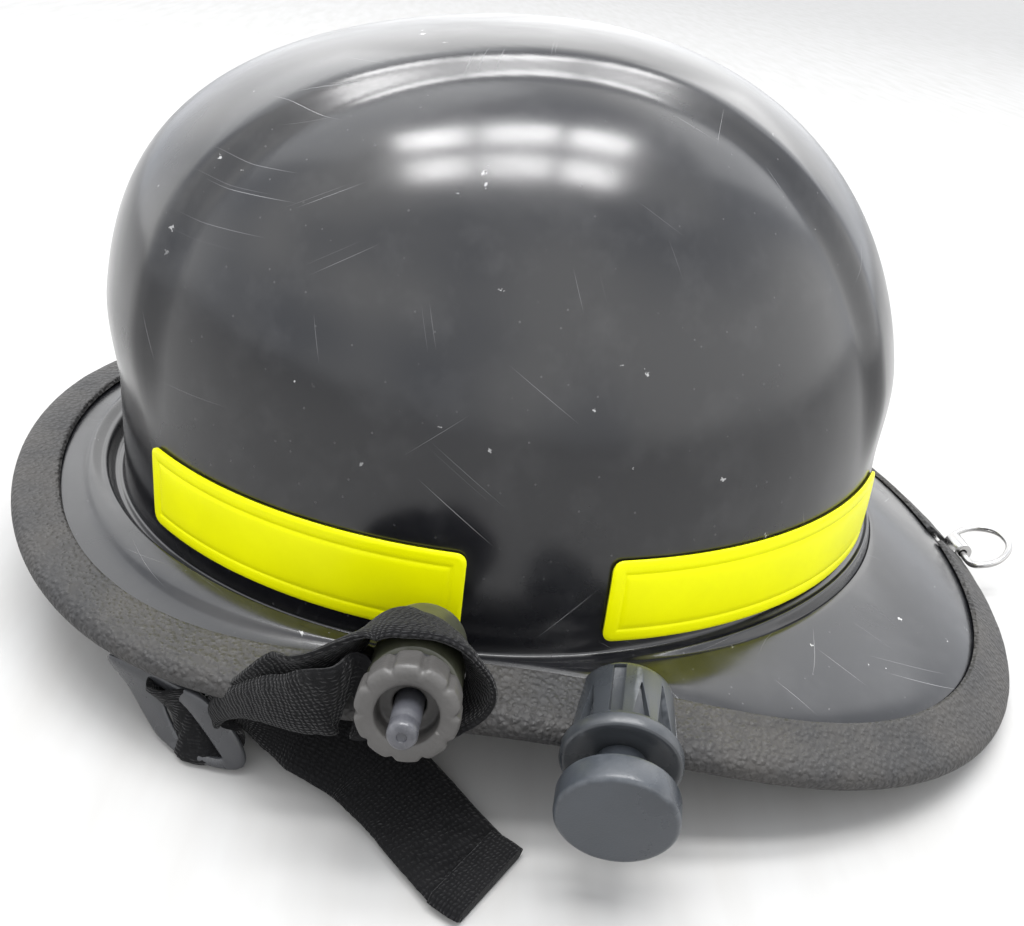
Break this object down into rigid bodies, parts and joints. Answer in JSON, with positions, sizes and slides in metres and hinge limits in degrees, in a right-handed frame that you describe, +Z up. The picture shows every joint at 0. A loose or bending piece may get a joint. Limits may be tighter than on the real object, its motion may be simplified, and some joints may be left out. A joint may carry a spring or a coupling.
{
  "type": "firefighter helmet",
  "caption": "Black low-brim firefighter's helmet: reflective strips, rubber edge bead, hanger ring, side knobs and pegs, inner suspension and goggles stowed under the brim.",
  "frame": {"origin": "on the table under the middle of the helmet's box, in its middle plane", "axes": "+Z up, +X towards the back of the helmet, -X its front, -Y the wearer's left side; the middle plane is Y = 0"},
  "size_m": [0.3876, 0.3718, 0.1959],
  "materials": {
    "shell": "gloss",
    "trim": "matte",
    "strip": "satin",
    "steel": "polished",
    "post": "satin",
    "peg": "satin",
    "knob": "matte",
    "stud": "satin",
    "elastic": "matte",
    "plastic": "satin",
    "lens": "gloss",
    "foam": "matte",
    "liner": "matte",
    "pad": "matte"
  },
  "bodies": {
    "helmet": {"shell": "shell", "edge_bead": "trim", "ring_clip": "steel", "impact_liner": "liner", "headband": "plastic", "brow_pad": "pad", "lower_crown_strap": "elastic", "upper_crown_strap": "elastic", "ratchet_housing": "plastic", "nape_pad": "pad", "goggle_frame": "plastic", "goggle_lens": "lens", "goggle_pad": "foam", "left_front_strip": "strip", "left_rear_strip": "strip", "left_visor_post": "post", "left_visor_stud": "stud", "left_visor_washer": "plastic", "left_peg_body": "peg", "left_strap_loop": "elastic", "left_strap_run": "elastic", "left_strap_tail": "elastic", "left_strap_hem": "elastic", "left_front_hanger": "plastic", "left_rear_hanger": "plastic", "right_front_strip": "strip", "right_rear_strip": "strip", "right_visor_post": "post", "right_visor_stud": "stud", "right_visor_washer": "plastic", "right_peg_body": "peg", "right_strap_loop": "elastic", "right_strap_run": "elastic", "right_strap_tail": "elastic", "right_strap_hem": "elastic", "right_front_hanger": "plastic", "right_rear_hanger": "plastic"},
    "hanger_ring": {"hanger_ring": "steel"},
    "ratchet_knob": {"ratchet_knob": "plastic", "ratchet_pinion": "plastic"},
    "left_rack": {"left_rack": "plastic"},
    "right_rack": {"right_rack": "plastic"},
    "left_visor_knob": {"left_visor_knob": "knob"},
    "left_peg_cap": {"left_peg_cap": "peg"},
    "left_strap_arm": {"left_strap_arm": "plastic"},
    "right_visor_knob": {"right_visor_knob": "knob"},
    "right_peg_cap": {"right_peg_cap": "peg"},
    "right_strap_arm": {"right_strap_arm": "plastic"}
  },
  "joints": [
    {"name": "hanger_ring_swing", "type": "hinge", "parent": "helmet", "child": "hanger_ring", "pos_m": [0.17552, 0, 0.01139], "axis": [0, 1, 0], "range_deg": [-103, 61]},
    {"name": "left_visor_knob_turn", "type": "hinge", "parent": "helmet", "child": "left_visor_knob", "pos_m": [-0.05018, -0.16744, 0.05485], "axis": [-0.0901, -0.9713, 0.2203], "continuous": true},
    {"name": "left_peg_cap_turn", "type": "hinge", "parent": "helmet", "child": "left_peg_cap", "pos_m": [0.0044, -0.16923, 0.0338], "axis": [-0.1803, -0.9768, -0.1152], "continuous": true},
    {"name": "left_strap_arm_swing", "type": "hinge", "parent": "helmet", "child": "left_strap_arm", "pos_m": [-0.1319, -0.11625, 0.012], "axis": [-0.5077, 0.1545, 0.8476], "range_deg": [0, 16]},
    {"name": "right_visor_knob_turn", "type": "hinge", "parent": "helmet", "child": "right_visor_knob", "pos_m": [-0.05018, 0.16744, 0.05485], "axis": [-0.0901, 0.9713, 0.2203], "continuous": true},
    {"name": "right_peg_cap_turn", "type": "hinge", "parent": "helmet", "child": "right_peg_cap", "pos_m": [0.0044, 0.16923, 0.0338], "axis": [-0.1803, 0.9768, -0.1152], "continuous": true},
    {"name": "right_strap_arm_swing", "type": "hinge", "parent": "helmet", "child": "right_strap_arm", "pos_m": [-0.1319, 0.11625, 0.012], "axis": [0.5077, 0.1545, -0.8476], "range_deg": [0, 16]},
    {"name": "ratchet_knob_turn", "type": "hinge", "parent": "helmet", "child": "ratchet_knob", "pos_m": [0.08535, 0, 0.0701], "axis": [1, 0, 0], "range_deg": [-150, 150]},
    {"name": "left_rack_slide", "type": "slide", "parent": "helmet", "child": "left_rack", "axis": [0, 1, 0], "range_m": [-0.009, 0.009]},
    {"name": "right_rack_slide", "type": "slide", "parent": "helmet", "child": "right_rack", "axis": [0, 1, 0], "range_m": [-0.009, 0.009]}
  ],
  "couplings": [
    {"joint": "left_rack_slide", "follows": "ratchet_knob_turn", "m_per_rad": -0.0030558},
    {"joint": "right_rack_slide", "follows": "ratchet_knob_turn", "m_per_rad": 0.0030558}
  ]
}
